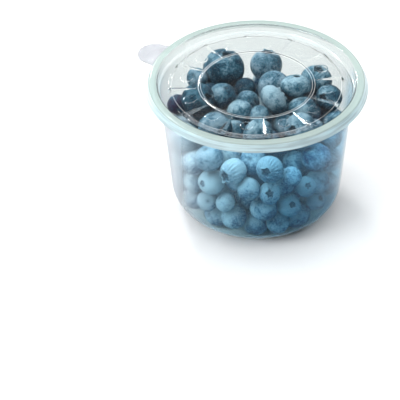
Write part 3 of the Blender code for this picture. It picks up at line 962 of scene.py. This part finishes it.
def tab_faces(across_count, along_count, first):
    """Faces of the tab: its upper and lower sides and the strip round its edge."""
    layer = across_count * along_count
    faces = []
    for row in range(along_count - 1):
        for column in range(across_count - 1):
            corner = first + row * across_count + column
            quad = (corner, corner + 1, corner + across_count + 1, corner + across_count)
            faces.append(quad)
            faces.append(tuple(point + layer for point in quad[::-1]))
    border = list(range(across_count))
    border += [row * across_count + across_count - 1 for row in range(1, along_count)]
    border += [layer - 1 - column for column in range(1, across_count)]
    border += [row * across_count for row in range(along_count - 2, 0, -1)]
    border = [first + point for point in border]
    for here, following in zip(border, border[1:] + border[:1]):
        faces.append((following, here, here + layer, following + layer))
    return faces


def make_lid():
    """The lid with its tab as one mesh."""
    top = split_at(lid_path(), [edge for band in HIGHLIGHT_BANDS for edge in band])
    outline = sheet_outline(top, -LID_THICKNESS)
    angles = lid_angles([point[0] for point in outline[1:-1]])
    around = angles.shape[1]

    def lift(radii, heights, turned):
        raised = lid_relief(radii, heights, turned)
        raised[len(top) - 1 :] = 0.0
        return raised

    turned = turned_points(outline, angles, lift)
    faces = grid_faces(len(outline) - 2, around)
    faces += tab_faces(*TAB_GRID, len(turned))
    points = np.concatenate((turned, *tab_points(*TAB_GRID)))
    piece = add_piece("lid_shell", points, faces, clear_plastic())
    piece.data.set_sharp_from_angle(angle=LID_SHARP_ANGLE)
    for plastic in (
        milky_plastic("rim_plastic", (0.435, 0.530, 0.500), 0.34),
        milky_plastic("tab_plastic", (0.505, 0.520, 0.545), 0.70),
        painted_highlight_plastic(),
        milky_plastic("skirt_plastic", (0.740, 0.930, 0.970), 0.20, 0.28),
    ):
        piece.data.materials.append(plastic)
    kind = np.zeros(len(piece.data.polygons), dtype=np.int32)
    kind[around * (len(outline) - 1) :] = TAB_SLOT
    for ring, (here, following) in enumerate(zip(top[1:], top[2:])):
        span = slice(around * (ring + 1), around * (ring + 2))
        if here.x > RIM_INNER_RADIUS + 0.3:
            kind[span] = SKIRT_SLOT if following.y < RIM_TOP - 0.6 else RIM_SLOT
        # Painted highlight: the faces in these bands get the white plastic.
        if any(low < (here.x + following.x) / 2.0 < high for low, high in HIGHLIGHT_BANDS):
            kind[span] = HIGHLIGHT_SLOT
    piece.data.polygons.foreach_set("material_index", kind)
    return piece


lid = make_lid()
lid.visible_shadow = False
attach(lid, "root")
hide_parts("lid")


# ---- Floor ----
# A plain pale table top that the punnet stands on.

FLOOR_RADIUS = 4.0
FLOOR_GAP = 0.2


def pale_floor():
    """Smooth pale paint with hardly any unevenness."""
    material, tree, shader, place = new_material("pale_floor")
    shader.inputs["Base Color"].default_value = (0.74, 0.75, 0.76, 1.0)
    shader.inputs["Specular IOR Level"].default_value = 0.2
    cloud = noise(tree, place, 0.02)
    tree.links.new(spread(tree, cloud, 0.3, 0.7, 0.75, 0.85), shader.inputs["Roughness"])
    return material


floor_mesh = bmesh.new()
bmesh.ops.create_circle(floor_mesh, cap_ends=True, segments=96, radius=FLOOR_RADIUS)
floor_data = bpy.data.meshes.new("floor")
floor_mesh.to_mesh(floor_data)
floor_mesh.free()
floor_data.materials.append(pale_floor())
floor = bpy.data.objects.new("floor", floor_data)
floor.location.z = -FLOOR_GAP * MM
bpy.context.scene.collection.objects.link(floor)


# ---- Light ----
# Soft studio light: a wide softbox overhead, a key light at the front left, and two small lamps at
# the back left whose light glances off the two front ribs. The walls of the studio are pale.

LID_CENTRE = Vector((0.0, 0.0, RIM_TOP * MM))


def add_lamp(name, direction, distance, size, radiance):
    """A square lamp that faces the lid, at a distance, with a given brightness of its face."""
    data = bpy.data.lights.new(name, "AREA")
    data.shape = "SQUARE"
    data.size = size
    data.energy = radiance * math.pi * size * size
    lamp = bpy.data.objects.new(name, data)
    back = Vector(direction).normalized()
    lamp.location = LID_CENTRE + back * distance
    lamp.rotation_mode = "QUATERNION"
    lamp.rotation_quaternion = back.to_track_quat("Z", "Y")
    bpy.context.scene.collection.objects.link(lamp)
    return lamp


def add_rib_glint(name, rib):
    """A small lamp whose light a rib's flank sends to the camera."""
    angle = FIRST_RIB_ANGLE + 2.0 * math.pi / LID_SECTORS * rib
    out = Vector((math.cos(angle), math.sin(angle), 0.0))
    across = Vector((out.y, -out.x, 0.0))
    slope = RIB_HEIGHT / (RIB_OUTER_WIDTH / 2.0)
    rise = slope * (RIB_OUTER_WIDTH - RIB_INNER_WIDTH) / 2.0 / (RIB_END - RIB_START)
    normal = (across * slope - out * rise + Vector((0.0, 0.0, 1.0))).normalized()
    middle = out * (RIB_START + RIB_END) / 2.0 * MM + Vector((0.0, 0.0, PANEL_TOP * MM))
    to_camera = (camera_side * CAMERA_DISTANCE - middle).normalized()
    direction = 2.0 * normal.dot(to_camera) * normal - to_camera
    lamp = add_lamp(name, direction, GLINT_DISTANCE, GLINT_SIZE, GLINT_RADIANCE)
    lamp.location += middle - LID_CENTRE


CAMERA_ELEVATION = math.radians(35.08)
CAMERA_DISTANCE = 1.0
GLINT_DISTANCE = 0.6
GLINT_SIZE = 0.07
GLINT_RADIANCE = 45.0
camera_side = Vector((0.0, -math.cos(CAMERA_ELEVATION), math.sin(CAMERA_ELEVATION)))
add_lamp("softbox", (-0.06, 0.14, 1.0), distance=2.2, size=3.1, radiance=3.1)
add_lamp("key", (-0.95, -0.40, 0.9), distance=2.4, size=1.0, radiance=8.0)
add_rib_glint("left_glint", 9)
add_rib_glint("right_glint", 10)

world = bpy.data.worlds.new("studio")
world.use_nodes = True
background = world.node_tree.nodes["Background"]
background.inputs["Color"].default_value = (0.92, 0.96, 1.0, 1.0)
background.inputs["Strength"].default_value = 0.10
bpy.context.scene.world = world
bpy.context.scene.view_settings.view_transform = "Standard"


# ---- Camera ----
# A long lens from the front, looking down at the lid.

CAMERA_LENS = 170.2
CAMERA_SENSOR = 36.0
LID_CENTRE_ACROSS = 0.141
LID_CENTRE_UP = 0.302

camera_data = bpy.data.cameras.new("camera")
camera_data.lens = CAMERA_LENS
camera_data.sensor_width = CAMERA_SENSOR
camera = bpy.data.objects.new("camera", camera_data)
camera.location = LID_CENTRE + camera_side * CAMERA_DISTANCE
sight = CAMERA_SENSOR / CAMERA_LENS
to_lid = Vector((LID_CENTRE_ACROSS * sight, LID_CENTRE_UP * sight, -1.0)).normalized()
camera.rotation_mode = "QUATERNION"
looking = (-camera_side).to_track_quat("-Z", "Y")
camera.rotation_quaternion = looking @ to_lid.rotation_difference(Vector((0.0, 0.0, -1.0)))
bpy.context.scene.collection.objects.link(camera)
bpy.context.scene.camera = camera
